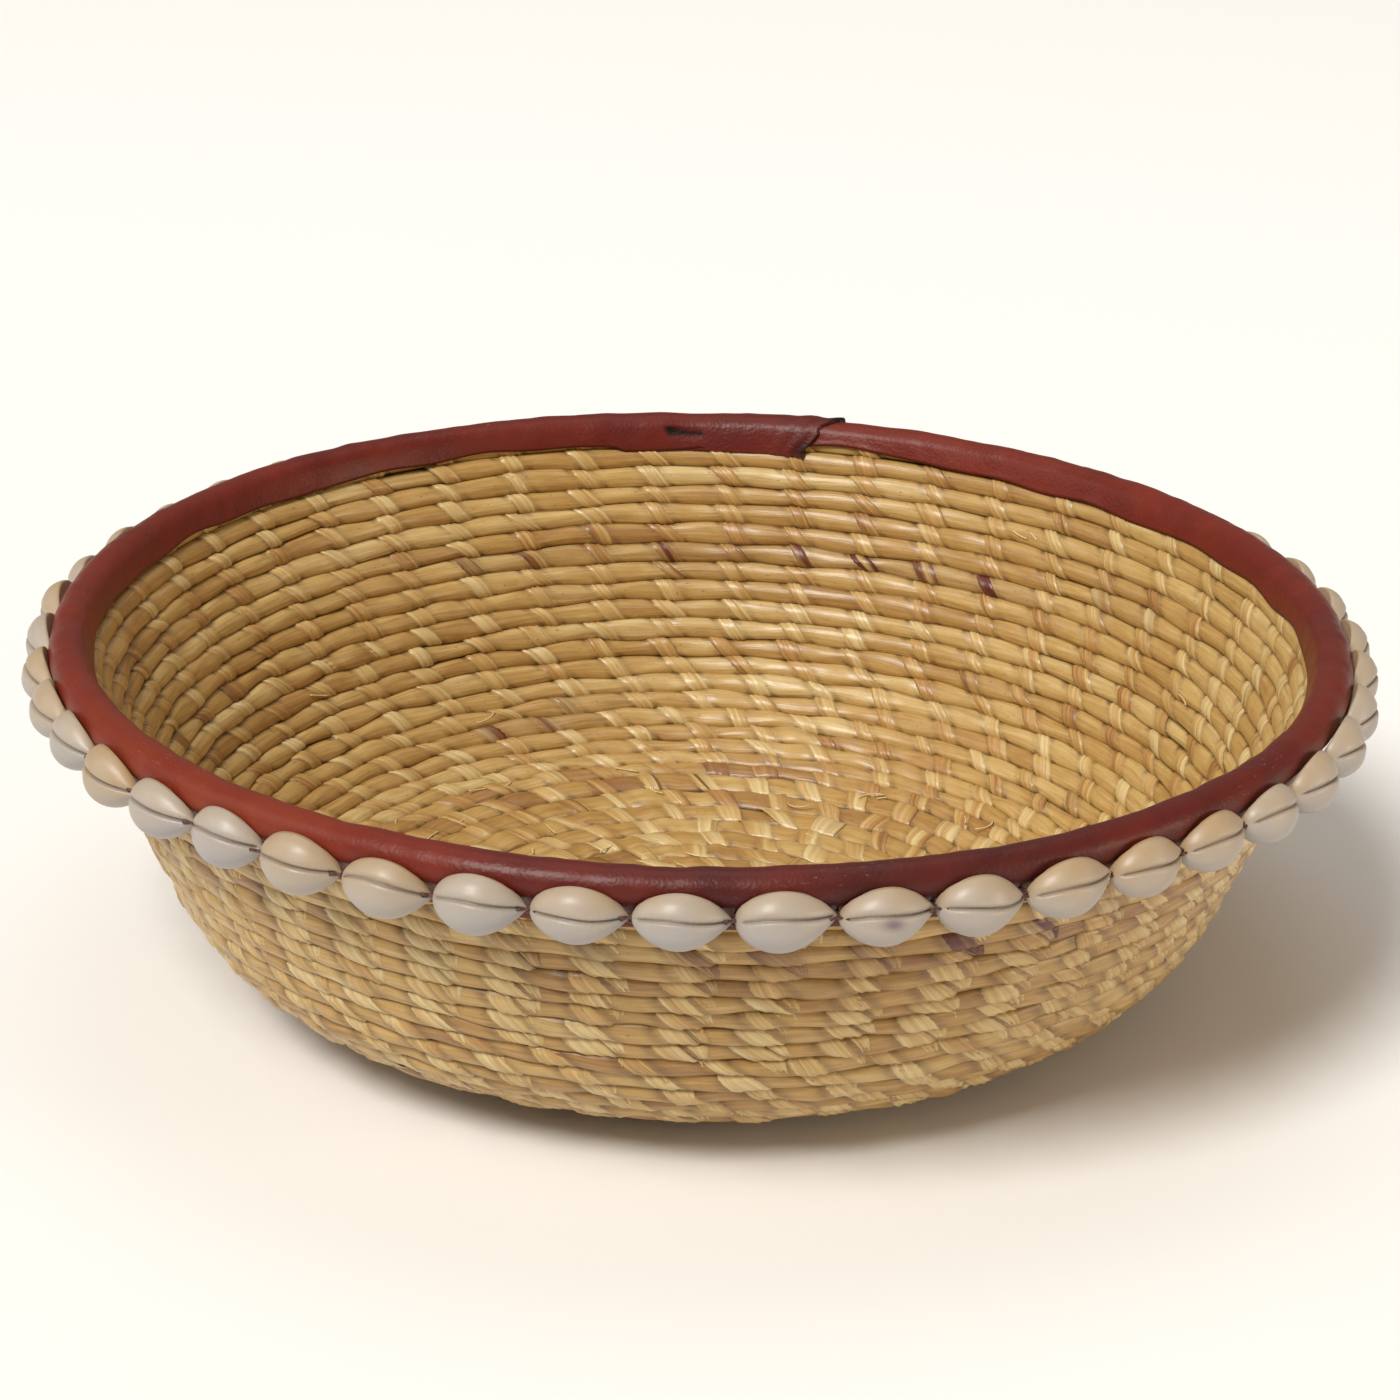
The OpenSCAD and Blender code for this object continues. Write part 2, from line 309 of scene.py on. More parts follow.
def leather_material():
    """Vegetable-tanned goatskin dyed oxblood and rubbed by hands. The eye sees a deep red
    that drifts to plum and to brick, a fine grain, soft wrinkles, small pale scuffs and
    blackened raw edges; the brick at the front left is a painted highlight, and the paler
    red at the left and right sides a painted reflection. Grain cells are 0.9 mm apart and
    rubbed patches 3.5 mm."""
    material, tree, shader, uv, (hue, black, scuff) = new_material("goatskin_oxblood")
    place_on = add(tree, PLACE, {}, "Object")
    cloud = add(tree, NOISE, {"Vector": place_on, "Scale": 1 / (20 * MM), "Detail": 4,
                              "Roughness": 0.6})
    grain = add(tree, "ShaderNodeTexVoronoi", {"Vector": place_on, "Scale": 1 / (0.9 * MM)})
    pores = add(tree, NOISE, {"Vector": place_on, "Scale": 1 / (0.7 * MM), "Detail": 2,
                              "Roughness": 0.6})
    drift = add(tree, MATH, {0: cloud, 1: 0.7, 2: -0.35}, operation="MULTIPLY_ADD")
    # painted light: the hue carries a painted highlight at the front left and a painted reflection
    # at the sides
    shade = add(tree, MATH, {0: hue, 1: drift}, operation="ADD", use_clamp=True)
    base = add(tree, RAMP, {0: shade}, stops=[(0.0, "#3F1A19"), (0.35, "#5E1E16"),
                                              (0.65, "#752818"), (1.0, "#86371C")])
    rubbed = add(tree, NOISE, {"Vector": place_on, "Scale": 1 / (3.5 * MM), "Detail": 5,
                               "Roughness": 0.7})
    worn = add(tree, RAMP, {0: rubbed}, stops=[(0.58, "#000000"), (0.75, "#3C3C3C")])
    base = add(tree, MIX, {0: worn, 6: base, 7: "#883E2C"}, 2, data_type="RGBA")
    scratch_place = add(tree, MAPPING, {"Vector": uv, "Scale": (1 / 2.4, 1 / 0.8, 1)})
    scratch = add(tree, NOISE, {"Vector": scratch_place, "Scale": 1, "Detail": 4,
                                "Roughness": 0.65})
    pale = add(tree, RAMP, {0: scratch}, stops=[(0.62, "#000000"), (0.70, "#B0B0B0")])
    pale = add(tree, MATH, {0: scuff, 1: pale}, operation="MULTIPLY")
    base = add(tree, MIX, {0: pale, 6: base, 7: "#B4877A"}, 2, data_type="RGBA")
    base = add(tree, MIX, {0: black, 6: base, 7: "#0E0A09"}, 2, data_type="RGBA")
    dull = add(tree, MATH, {0: cloud, 1: 0.30, 2: 0.27}, operation="MULTIPLY_ADD")
    relief = add(tree, MATH, {0: pores, 1: 0.8, 2: grain}, operation="MULTIPLY_ADD")
    relief = add(tree, MATH, {0: rubbed, 1: 2.4, 2: relief}, operation="MULTIPLY_ADD")
    skin = add(tree, BUMP, {"Strength": 0.28, "Distance": 0.24 * MM, "Height": relief})
    fill(tree, shader, {"Base Color": base, "Roughness": dull, "Normal": skin, "IOR": 1.45,
                        "Specular IOR Level": 0.28, "Coat Weight": 0.06, "Coat Roughness": 0.26})
    return material


def cowrie_material():
    """Money cowrie shell. The eye sees ivory porcelain with a soft gloss, a warmer or
    bluer tint from shell to shell, each shell painted warmer and lit on its upper side and
    bluer and shaded on its lower side, and a painted brown shadow in the toothed mouth."""
    material, tree, shader, _, (tint_and_painted_light, mouth, violet) = new_material("cowrie_shell")
    place_on = add(tree, PLACE, {}, "Object")
    cloud = add(tree, NOISE, {"Vector": place_on, "Scale": 1 / (6 * MM), "Detail": 3,
                              "Roughness": 0.5})
    fine = add(tree, NOISE, {"Vector": place_on, "Scale": 1 / (0.8 * MM), "Detail": 3,
                             "Roughness": 0.6})
    drift = add(tree, MATH, {0: cloud, 1: 0.5, 2: -0.25}, operation="MULTIPLY_ADD")
    # painted light: the tint is warmer on the lit upper side and bluer on the shaded lower side
    shade = add(tree, MATH, {0: tint_and_painted_light, 1: drift}, operation="ADD", use_clamp=True)
    base = add(tree, RAMP, {0: shade}, stops=[(0.0, "#A29C9A"), (0.35, "#AA9E91"), (0.7, "#AB967C"),
                                              (1.0, "#A98A60")])
    base = add(tree, MIX, {0: violet, 6: base, 7: "#5F4A5C"}, 2, data_type="RGBA")
    # painted shade in the mouth
    base = add(tree, MIX, {0: mouth, 6: base, 7: "#564339"}, 2, data_type="RGBA")
    dull = add(tree, MATH, {0: fine, 1: 0.2, 2: 0.37}, operation="MULTIPLY_ADD")
    skin = add(tree, BUMP, {"Strength": 0.12, "Distance": 0.1 * MM, "Height": fine})
    fill(tree, shader, {"Base Color": base, "Roughness": dull, "Normal": skin, "IOR": 1.55,
                        "Subsurface Weight": 0.12, "Subsurface Radius": (1.0, 0.7, 0.5),
                        "Subsurface Scale": 1.2 * MM, "Coat Weight": 0.12, "Coat Roughness": 0.25})
    return material


def thread_material():
    """Waxed sewing thread of two plies, 0.8 mm to a turn of the twist. The eye sees a dark
    red-brown cord."""
    material, tree, shader, uv, _ = new_material("waxed_thread")
    twist_place = add(tree, MAPPING, {"Vector": uv, "Scale": (1 / 0.8, 1 / 0.8, 1)})
    twist = add(tree, "ShaderNodeTexWave", {"Vector": twist_place, "Scale": 0.32,
                                            "Distortion": 0.5},
                "Fac", bands_direction="DIAGONAL")
    base = add(tree, RAMP, {0: twist}, stops=[(0.0, "#3A1E17"), (1.0, "#6A4436")])
    skin = add(tree, BUMP, {"Strength": 0.6, "Distance": 0.1 * MM, "Height": twist})
    fill(tree, shader, {"Base Color": base, "Normal": skin, "Roughness": 0.55, "IOR": 1.5})
    return material


def floor_material():
    """Matt painted board under the bowl: an even pale grey-white."""
    material, tree, shader, _, _ = new_material("matt_board")
    fill(tree, shader, {"Base Color": "#F2F1EF", "Roughness": 0.9, "Specular IOR Level": 0.1})
    return material


# ---------------------------------------------------------------- the coil's own surface

def middle_line(s):
    """Radius, height and slope of the wall's middle line at the length s from the axis:
    a level stretch, two arcs and a straight slope, joined smoothly."""
    on_dish = np.clip(s - FLAT_R, 0, DISH_END - FLAT_R) / DISH_R
    on_shoulder = np.clip(s - DISH_END, 0, SHOULDER_END - DISH_END) / SHOULDER_R
    slope = on_dish + on_shoulder
    bend = DISH_SLOPE + on_shoulder
    up = np.clip(s - SHOULDER_END, 0, None)
    radius = (np.minimum(s, FLAT_R) + DISH_R * np.sin(on_dish)
              + SHOULDER_R * (np.sin(bend) - math.sin(DISH_SLOPE)) + up * math.cos(WALL_SLOPE))
    height = (FLOOR_Z + DISH_R * (1 - np.cos(on_dish))
              + SHOULDER_R * (math.cos(DISH_SLOPE) - np.cos(bend)) + up * math.sin(WALL_SLOPE))
    return radius, height, slope


def turn_width(s):
    """Width of a turn: wide on the floor, narrow from the shoulder up."""
    return FLOOR_PITCH + (WALL_PITCH - FLOOR_PITCH) * smooth(s, DISH_END - 8, DISH_END + 2)


# The spiral, worked out once in fine steps of the length s: the turns made so far, the
# length of coil laid, and the number of stitches sewn. Seen from above it runs clockwise.
# Its last turn ends inside the leather roll.
fine_s = np.arange(FLOOR_PITCH / 2, WALL_END + WALL_PITCH / 2, 0.02)
fine_r = middle_line(fine_s)[0]
fine_turns = np.concatenate([[0], np.cumsum(np.diff(fine_s) / turn_width(fine_s[:-1]))])
fine_coil = np.concatenate([[0], np.cumsum(2 * math.pi * fine_r[:-1] * np.diff(fine_turns))])
denser = 1 + 0.24 * (1 - smooth(fine_s, DISH_END - 10, DISH_END + 20))
stitches_a_turn = np.where(fine_r > STITCH_FROM_R, WALL_STITCHES,
                           np.round(WALL_STITCHES * fine_r / STITCH_FROM_R * denser))
fine_sewn = np.concatenate([[0], np.cumsum(stitches_a_turn[:-1] * np.diff(fine_turns))])
TURNS = fine_turns[-1]
START = math.radians(35)


def coil_place(turns):
    """Length s and angle of the spiral after a number of turns."""
    return np.interp(turns, fine_turns, fine_s), START - 2 * math.pi * turns


# Stitches: their places along the coil, each a little off its line
stitch_rng = seeded(0)
STITCHES = int(fine_sewn[-1])
stitch_coil = np.interp(np.arange(STITCHES) + 0.5, fine_sewn, fine_coil)
stitch_coil = stitch_coil + stitch_rng.normal(size=STITCHES) * 0.45
stitch_turns = np.interp(stitch_coil, fine_coil, fine_turns)
stitch_s, stitch_theta = coil_place(stitch_turns)
floorness = 1 - smooth(stitch_s, DISH_END - 6, DISH_END + 8)

# Each stitch starts a segment. Tones drift from segment to segment, since one splint
# makes several stitches before the next is laid in.
segment_tone = np.clip(0.42 + 0.11 * wander(stitch_rng, STITCHES, 9)
                       + 0.09 * stitch_rng.normal(size=STITCHES) * (1 + 0.8 * floorness)
                       + 0.16 * floorness, 0, 1)
segment_swell = 1 + 0.035 * stitch_rng.normal(size=STITCHES)
segment_rise = 0.16 * stitch_rng.normal(size=STITCHES) + 0.12 * wander(stitch_rng, STITCHES, 5)
segment_shift = stitch_rng.uniform(0, 400, size=STITCHES)
stitch_tone = np.clip(0.24 + 0.40 * segment_tone + 0.14 * wander(stitch_rng, STITCHES, 6)
                      + 0.11 * stitch_rng.normal(size=STITCHES) - 0.14 * floorness, 0, 1)
stitch_shift = stitch_rng.uniform(0, 400, size=STITCHES)

# Runs of dyed splint: turns below the rim, from and to an angle, and how strong the dye is
DYED_RUNS = [(5.6, 6.6, 142, 208, 0.75), (14.2, 15.2, 196, 214, 0.8), (13.2, 14.2, 190, 200, 0.5),
             (3.6, 4.6, 120, 134, 0.35), (9.8, 10.8, 250, 276, 0.4), (17.2, 18.2, 160, 172, 0.45)]
stitch_dye = 0.35 * (stitch_rng.uniform(size=STITCHES) < 0.02)
for above, below, first, last, dye in DYED_RUNS:
    depth = (WALL_END - stitch_s) / WALL_PITCH
    angle = np.degrees(stitch_theta) % 360
    inside_run = (depth > above) & (depth <= below) & (angle > first) & (angle < last)
    stitch_dye = np.where(inside_run, dye * stitch_rng.uniform(0.6, 1, size=STITCHES), stitch_dye)
# under the shells at the right front some outer stitches are stained purple-brown
outer_dye = (bump((np.degrees(stitch_theta) + 160) % 360 - 180, 34)
             * bump(stitch_s - WALL_END + 17, 5))
outer_dye = outer_dye * (stitch_rng.uniform(size=STITCHES) < 0.7)


def wrap(around):
    """How far back along the coil the sewing has moved at an angle around it. It leans
    one way up the inside face and goes on the same way down the outside face."""
    rise = np.sin(around)
    inside = SLANT_IN / 2 * rise
    outside = SLANT_IN / 2 + SLANT_OUT / 2 * (1 - rise)
    return np.where(around <= math.pi / 2, inside, outside)


def stray_along(s, theta):
    """How far the coil strays along the wall: ripples over the whole bowl, which move
    neighbouring turns together, so that one grows as the next one shrinks."""
    held = smooth(s, 8, 30) * (1 - smooth(s, WALL_END - 9, WALL_END))
    return 0.28 * held * ripples(theta, s, (3, 30), (0.2, 0.8), 14, seeded(31))


def stray_in(s, theta):
    """How far the coil strays toward the inside: ripples like those along the wall."""
    held = smooth(s, 8, 30) * (1 - 0.75 * smooth(s, WALL_END - 14, WALL_END - 4))
    return 0.20 * held * ripples(theta, s, (4, 60), (0.3, 1.1), 16, seeded(32))


def bundle(turns, around, lift, swell=1.0):
    """Points round the coil. In section the bundle is a rounded square, half the coil's
    thickness toward the inside and half a turn's width along the wall."""
    s, theta = coil_place(turns)
    radius, height, slope = middle_line(s)
    power = 2 / (BUNDLE_POWER + 1.3 * (1 - smooth(s, DISH_END - 12, DISH_END + 6)))
    depth = np.sign(np.cos(around)) * np.abs(np.cos(around)) ** power
    up = np.sign(np.sin(around)) * np.abs(np.sin(around)) ** power
    depth = depth * (COIL_T / 2 * swell + lift)
    up = up * ((turn_width(s) / 2 + TURN_PRESS) * swell + 0.5 * lift)
    depth = depth + stray_in(s, theta)
    up = up + stray_along(s + up, theta)
    out = radius - depth * np.sin(slope) + up * np.cos(slope)
    return polar(out, theta, height + depth * np.cos(slope) + up * np.sin(slope))


def worn_flat(points, level):
    """Rubs the underside flat: nothing hangs below its level in millimetres."""
    points[..., 2] = np.maximum(points[..., 2], level)
    return points


def coil_piece(name, first, last, material):
    """The coil between two counts of turns: rings round the bundle every STEP. A segment
    swells between its two stitches and is drawn in where they bind it."""
    start, end = np.interp([first, last], fine_turns, fine_coil)
    rings = int((end - start) / STEP)
    coil = np.linspace(start, end, rings)[:, None]
    around = np.linspace(-math.pi / 2, 3 * math.pi / 2, AROUND, endpoint=False)[None, :] + 0.001
    turns = np.interp(coil, fine_coil, fine_turns)
    sewn = coil + wrap(around)
    segment = np.clip(np.searchsorted(stitch_coil, sewn) - 1, 0, STITCHES - 2)
    since = sewn - stitch_coil[segment]
    until = stitch_coil[segment + 1] - sewn
    near = np.minimum(np.abs(since), np.abs(until))
    middle = 1 - np.abs(since - until) / (np.abs(since) + np.abs(until))
    rng = seeded(1)
    lumps = ripples(turns * 2 * math.pi, around, (12, 60), (-2, 2), 10, rng)
    swell = segment_swell[segment] - 0.07 * bump(near, 2.6) + 0.009 * lumps
    lift = segment_rise[segment] * smooth(near, 1.5, 4) + 0.10 * middle
    points = worn_flat(bundle(turns, around, lift, swell), COIL_UNDER)
    across = around * COIL_T / 2 + segment_shift[segment]
    uv = np.stack([coil + segment_shift[segment] * 3, across], axis=-1)
    # painted shade in the seams between turns and in the pits beside the stitches, and in the
    # hollows beside the stitches on the outer face
    steep = np.abs(np.sin(around))
    pit = bump(near - STITCH_IN_W / 2 - 0.5, 0.9) * (0.16 + 0.7 * smooth(steep, 0.3, 0.95))
    hollow = bump(near - STITCH_OUT_W / 2 - 0.4, 1.3) * smooth(-np.cos(around), 0.3, 0.9)
    # painted shade: patches where the seams are drawn darker
    shade_patches = np.clip(ripples(turns * 2 * math.pi, coil, (9, 40), (-0.2, 0.2), 8, rng), 0, 2)
    seam = smooth(steep, 0.82, 1.0) * (0.75 + 0.12 * shade_patches)
    outer_face = smooth(-np.cos(around), 0, 0.6)
    painted_shade = np.clip((seam + pit) * (1 - 0.3 * outer_face) + 0.35 * hollow, 0, 0.82)
    dye = 0.30 * stitch_dye[segment]
    tone = segment_tone[segment] + 0.14 * outer_face
    marks = np.stack([tone, dye + 0 * painted_shade, painted_shade], axis=-1)
    caps = [np.arange(AROUND)[::-1], (rings - 1) * AROUND + np.arange(AROUND)]
    return make_piece(name, points, grid_faces(rings, AROUND, True)[:, ::-1], uv, marks, material,
                      caps)


def centre_knot(material):
    """The knot that the coil starts from: a squashed ball whose radius swells in three
    arms that wind in toward the middle."""
    lines, columns = 24, 72
    down = np.linspace(0.02, math.pi - 0.02, lines)[:, None]
    around = np.linspace(0, 2 * math.pi, columns, endpoint=False)[None, :]
    arms = np.cos(3 * around - 3.4 * down)
    radius = KNOT_R * np.sin(down) ** 0.6 * (1 + 0.03 * arms)
    height = FLOOR_Z + (COIL_T / 2 + 0.25 * arms * np.sin(down)) * np.cos(down)
    points = worn_flat(polar(radius, around, height), COIL_UNDER)
    uv = np.stack(np.broadcast_arrays(KNOT_R * around, 6 * down), axis=-1)
    tone = 0.5 + 0.25 * arms
    # painted shade in the grooves between the arms and round the knot's edge
    painted_shade = 0.5 * smooth(-arms, 0.4, 1.0) + 0.3 * smooth(radius / KNOT_R, 0.85, 1.0)
    marks = np.stack([tone, 0 * tone, painted_shade], axis=-1)
    caps = [np.arange(columns), (lines - 1) * columns + np.arange(columns)[::-1]]
    faces = grid_faces(lines, columns, True)[:, ::-1]
    return make_piece("centre_knot_straw", points, faces, uv, marks, material, caps)


# ---------------------------------------------------------------- stitches

def strip_piece(name, chosen, path, width, thick, tones, dyes, material, seed):
    """Sewing stitches, all in one mesh. A stitch is three leaf strands side by side that
    follow its path round the coil at its own slant; across it the surface has a crest on
    each strand and its edges sink into the bundle. path lists, for each cross line, the
    turns it lies below its own turn, the angle around the bundle, how far the lean has
    gone, the width and the lift."""
    rng = np.random.default_rng(seed)
    below, around, lean, broad, lift = [np.array(row)[None, :, None] for row in zip(*path)]
    across = np.linspace(-1, 1, 7)[None, None, :]
    crests = np.array([-0.35, 0.95, 0.48, 1.0, 0.48, 0.95, -0.35])[None, None, :]
    strand = np.array([0, 0, 0, 1, 1, 2, 2])
    count, lines, columns = len(chosen), len(path), across.size
    floor = floorness[chosen][:, None, None]
    half = width / 2 * rng.normal(1, 0.15, (count, 1, 1)) * (1 + 0.15 * floor)
    skew = rng.normal(0, 0.55, (count, 1, 1)) * (1 + 1.6 * floor)
    coil = stitch_coil[chosen][:, None, None] - lean + skew * np.sin(around)
    # strands lie a little apart or over each other
    spread = rng.normal(0, 0.20, (count, 1, 3))[..., strand] * (np.abs(across) < 0.9)
    coil = coil + (across * half + spread * (1 + 1.4 * floor)) * broad
    turns = np.interp(coil, fine_coil, fine_turns)
    pull = rng.normal(1, 0.22, (count, 1, 3))[..., strand]
    raised = thick * crests * np.clip(pull, 0.5, 1.6) * (1 - 0.2 * floor) + lift
    points = bundle(np.maximum(turns - below, 0.02), around + 0 * coil, raised)
    # each stitch lies at a level of its own, so that no two share a plane
    own_level = STITCH_UNDER + UNDER_SPREAD * (np.arange(count) * 0.618 % 1)
    points = worn_flat(points, own_level[:, None, None])
    shift = stitch_shift[chosen][:, None, None]
    length = np.linspace(0, 12, lines)[None, :, None] + shift
    uv = np.stack(np.broadcast_arrays(length, across * half + shift * 1.7), axis=-1)
    # painted shade along the stitch's edges, in the grooves between its strands and in the seams
    # between turns
    edge = 0.42 * smooth(np.abs(across), 0.7, 1.0) + 0.16 * (crests == 0.48)
    crease = 0.55 * smooth(np.abs(np.sin(around)), 0.86, 1.0)
    painted_shade = np.clip(edge + crease, 0, 0.8) + 0 * coil
    tone = tones[chosen][:, None, None] + 0 * coil
    tone = tone + rng.normal(0, 0.12, (count, 1, 3))[..., strand] * (1 + 0.8 * floor)
    dye = dyes[chosen][:, None, None] * rng.uniform(0.1, 1.6, (count, 1, 3))[..., strand]
    dye = dye + 0 * coil
    marks = np.clip(np.stack([tone, dye, painted_shade], axis=-1), 0, 1)
    faces = grid_faces(lines, columns, False, count)
    return make_piece(name, points, faces, uv, marks, material)


def inside_path():
    """Cross lines of a stitch on the inner face, from the seam below to the seam above."""
    angles = np.radians(np.linspace(-108, 108, 9))
    return [(0, a, SLANT_IN / 2 * np.sin(np.clip(a, -math.pi / 2, math.pi / 2)),
             0.74 + 0.26 * max(math.cos(a), 0), -0.05 * (1 - math.cos(a))) for a in angles]


def outside_path():
    """Cross lines of a stitch on the outer face: over its own turn, across the seam and down
    to the middle of the turn below, where it goes in."""
    own = np.radians(np.linspace(80, 250, 7))
    rows = [(0, a, float(wrap(a)), 0.66 + 0.34 * max(-math.cos(a), 0), -0.04) for a in own]
    after = float(wrap(own[-1]))
    tail = np.radians(np.linspace(112, 205, 5))
    for k, a in enumerate(tail):
        rows.append((1, a, after + SLANT_OUT / 2 * (k + 1) / 4, 0.78 - 0.15 * k,
                     (-0.10, -0.05, -0.12, -0.35, -1.1)[k]))
    return rows


# ---------------------------------------------------------------- leather

def leather_section():
    """The outer line of the leather in section, about the roll's middle: up from the cut
    edge that lies on the top turn inside, round the roll, in under it and down the flap."""
    way = np.array([math.cos(WALL_SLOPE), math.sin(WALL_SLOPE)])
    out = np.array([math.sin(WALL_SLOPE), -math.cos(WALL_SLOPE)])
    lip = [(LIP, 0.05), (LIP - 0.7, 0.45), (4.6, 0.62), (3.0, 0.78), (1.4, 0.90)]
    line = [-out * (LIP_IN + proud) - way * down for down, proud in lip]
    for a in np.linspace(ROLL_FROM, math.radians(-52), 30):
        line.append(ROLL_R * np.array([math.cos(a), math.sin(a)]))
    for down in (4.9, 5.8, 6.8, 7.8, 8.7, FLAP):
        line.append(out * (FLAP_OUT + LEATHER_T) - way * down)
    return np.array(line)


def leather_waves(theta, across, seed=SEED + 5):
    """Unevenness of the skin in millimetres: slow swells, hand-made dents and slanting
    creases."""
    rng = np.random.default_rng(seed)
    return (0.14 * ripples(theta, across, (3, 14), (-0.05, 0.05), 8, rng)
            + 0.065 * ripples(theta, across, (24, 70), (-0.25, 0.25), 12, rng)
            + 0.026 * ripples(theta, across, (90, 190), (-0.9, 0.9), 12, rng))


def slit_mark(theta, across):
    """1 inside the short black slit on the inner face of the roll behind, 0 elsewhere."""
    along = theta * RIM_R - math.radians(182.2) * RIM_R
    slit_half = 6.0 + 0.5 * np.sin(across * 3)
    return (smooth(slit_half - np.abs(along), 0, 1.4)
            * smooth(1.3 - np.abs(across - LIP + 0.9 - 0.07 * along), 0, 0.4))


def leather_marks(theta, across):
    """Hue, blackening and scuffs. The hue drifts from plum at the right front to brick at
    the left front. The brick at the front left is a painted highlight, and the rises at the
    left and right sides paint a paler reflection."""
    degrees = np.degrees(theta) % 360
    # painted light: the bump at 318 degrees is a painted highlight at the front left, and those at
    # 262 and 92 degrees a painted reflection at the left and right sides
    hue = (0.44 + 0.36 * bump(degrees - 318, 26) - 0.26 * bump((degrees + 160) % 360 - 180, 38)
           + 0.14 * bump(degrees - 140, 30) - 0.08 * bump(degrees - 200, 25)
           + 0.12 * bump(degrees - 262, 24) + 0.06 * bump(degrees - 92, 24))
    edge = 0.45 * smooth(0.9 - across, 0, 0.8)
    scuff = smooth(np.sin(theta * 7 + 1) + np.sin(theta * 17 + across * 0.3), 0.5, 1.6)
    scuff = scuff * bump(across - 13, 7)
    black = np.clip(np.maximum(slit_mark(theta, across), edge), 0, 1)
    return np.stack([hue, black, scuff], axis=-1)


def binding(material):
    """The leather strip: its section carried round the rim, with the skin's unevenness. A
    second line inside it closes the strip."""
    steps = 1080
    outer = leather_section()
    gaps = np.linalg.norm(np.diff(outer, axis=0), axis=1)
    across = np.concatenate([[0], np.cumsum(gaps)])
    theta = np.linspace(0, 2 * math.pi, steps, endpoint=False)[:, None]
    degrees = np.degrees(theta)
    rng = seeded(9)
    # the cut edge inside wanders up and down, with one step in it
    stray = (1.7 + 0.34 * ripples(theta, 0 * theta, (5, 40), (0, 0), 10, rng)
             + 1.9 * bump(degrees - 167, 6) + 0.8 * bump(degrees - 160, 9)
             - 1.1 * bump(degrees - 186, 5)
             + 1.1 * smooth(degrees, 188.6, 190.0) * smooth(216 - degrees, 0, 26))
    local = np.clip(across[None, :] + stray * bump(across[None, :], 4.0), 0, across[-1])
    x = np.interp(local, across, outer[:, 0])
    y = np.interp(local, across, outer[:, 1])
    size = np.hypot(x, y)
    waves = leather_waves(theta, across[None, :]) * smooth(across[None, :], 0.0, 3.0)
    waves = waves - 0.45 * slit_mark(theta, across[None, :])
    grow = 1 + waves / size
    skin = polar(RIM_R + x * grow, theta, RIM_H + y * grow)
    # the inner line: under the flap, then through the roll to the lip
    out = np.array([math.sin(WALL_SLOPE), -math.cos(WALL_SLOPE)])
    back = outer[[-1, -3, -5, 26, 17, 8, 0]] * 0.84
    back[:3] = outer[[-1, -3, -5]] - 0.85 * out
    back = back[None, :, :] + np.zeros((steps, 1, 1))
    back[:, -1, :] = np.stack([x[:, 0], y[:, 0]], axis=-1) + 0.8 * out
    under = polar(RIM_R + back[..., 0], theta, RIM_H + back[..., 1])
    points = np.concatenate([skin, under], axis=1)
    columns = points.shape[1]
    spread = np.concatenate([across, np.full(under.shape[1], across[-1])])[None, :] + 0 * theta
    uv = np.stack([theta * RIM_R + 0 * spread, spread], axis=-1)
    marks = leather_marks(theta + 0 * spread, spread)
    faces = grid_faces(steps, columns, True)
    last = (steps - 1) * columns
    column = np.arange(columns)
    join = np.stack([last + column, last + (column + 1) % columns,
                     (column + 1) % columns, column], axis=-1)
    faces = np.concatenate([faces, join])
    return make_piece("leather_strip", points, faces, uv, marks, material)


def lap(material):
    """The strip's end lying over its start. From the torn edge, which stands up thick and
    black and juts out over the crown, the doubled skin thins out until it is one with the
    strip."""
    rng = seeded(11)
    outer = leather_section()[1:33]
    gaps = np.linalg.norm(np.diff(outer, axis=0), axis=1)
    across = 0.8 + np.concatenate([[0], np.cumsum(gaps)])[None, :]
    crown = LIP + (ROLL_FROM - math.radians(75)) * ROLL_R
    along = np.concatenate([[-0.3, -0.1, 0.3, 0.8, 1.5], np.linspace(2.4, 44, 44)])[:, None]
    rise = np.interp(along, [-0.3, -0.1, 0.3, 1.5, 9, 28, 44],
                     [-0.40, 0.55, LAP_T + 0.35, LAP_T + 0.25, LAP_T * 0.9, 0.35, -0.35])
    ragged = (0.35 * np.sin(across * 1.7) + 0.18 * rng.normal(size=across.shape)
              - 4.4 * bump(across - crown, 2.8) + 0.28 * (crown / 2 - across)
              + 2.4 * bump(across - 2.0, 1.8))
    shift = ragged * bump(along, 8.0)
    theta = LAP_AT + (along + shift) / RIM_R
    waves = (leather_waves(theta, across)
             + 0.16 * np.sin(along * 1.2 + across * 0.5) * bump(along - 4, 7)
             - 0.45 * slit_mark(theta, across))
    size = np.hypot(outer[:, 0], outer[:, 1])[None, :]
    grow = 1 + (rise + waves) / size
    edges = smooth(1.0 - across, 0, 1) + smooth(across - across.max() + 1, 0, 1)
    grow = grow - 0.25 / size * edges
    points = polar(RIM_R + outer[None, :, 0] * grow, theta, RIM_H + outer[None, :, 1] * grow)
    spread = across + 0 * along
    uv = np.stack([theta * RIM_R + 300, spread], axis=-1)
    marks = leather_marks(theta, spread)
    ends = bump(across - crown, 3.2) + bump(across - 3.4, 2.2)
    torn = (1 - smooth(along, 0.1, 0.9)) * np.clip(0.25 + ends, 0, 1)
    corners = bump(along, 4.2) * (bump(across - crown, 2.0) + bump(across - 3.0, 1.7))
    marks[..., 1] = np.clip(np.maximum(marks[..., 1], np.maximum(torn, corners)), 0, 1)
    marks[..., 0] = marks[..., 0] - 0.2 * bump(along, 9)
    faces = grid_faces(along.size, across.size, False)
    return make_piece("leather_lapped_end", points, faces, uv, marks, material)


# ---------------------------------------------------------------- cowries

